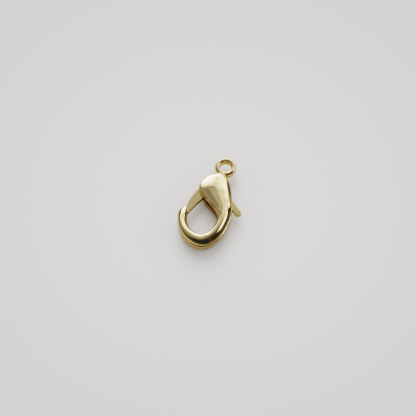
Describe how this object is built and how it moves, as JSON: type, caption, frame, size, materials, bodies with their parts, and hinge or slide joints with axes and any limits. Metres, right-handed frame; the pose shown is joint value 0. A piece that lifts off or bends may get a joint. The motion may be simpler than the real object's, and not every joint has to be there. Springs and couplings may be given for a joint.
{
  "type": "lobster clasp",
  "caption": "Small cast lobster clasp for a necklace or bracelet, with a rounded hook, an eye and a sprung lever worked by a thumb tab.",
  "frame": {"origin": "on the surface that the clasp lies on, below the middle of its outline seen from the front", "axes": "+Y towards the eye, along the clasp's length; +Z out of the front face, through its thickness; +X towards the thumb tab"},
  "size_m": [0.0068, 0.012, 0.0025],
  "materials": {
    "cast_body": "polished, pale champagne gold plating",
    "lever_sheet": "satin, pale champagne gold plating",
    "pin_wire": "polished, pale champagne gold plating"
  },
  "bodies": {
    "body": {"body": "cast_body", "pivot_pin": "pin_wire"},
    "lever": {"lever": "lever_sheet"}
  },
  "joints": [
    {"name": "lever_hinge", "type": "hinge", "parent": "body", "child": "lever", "pos_m": [-0.00029, 0.0024, 0.00125], "axis": [0, 0, 1], "range_deg": [0, 32], "stiffness_Nm_per_rad": 0.004}
  ]
}
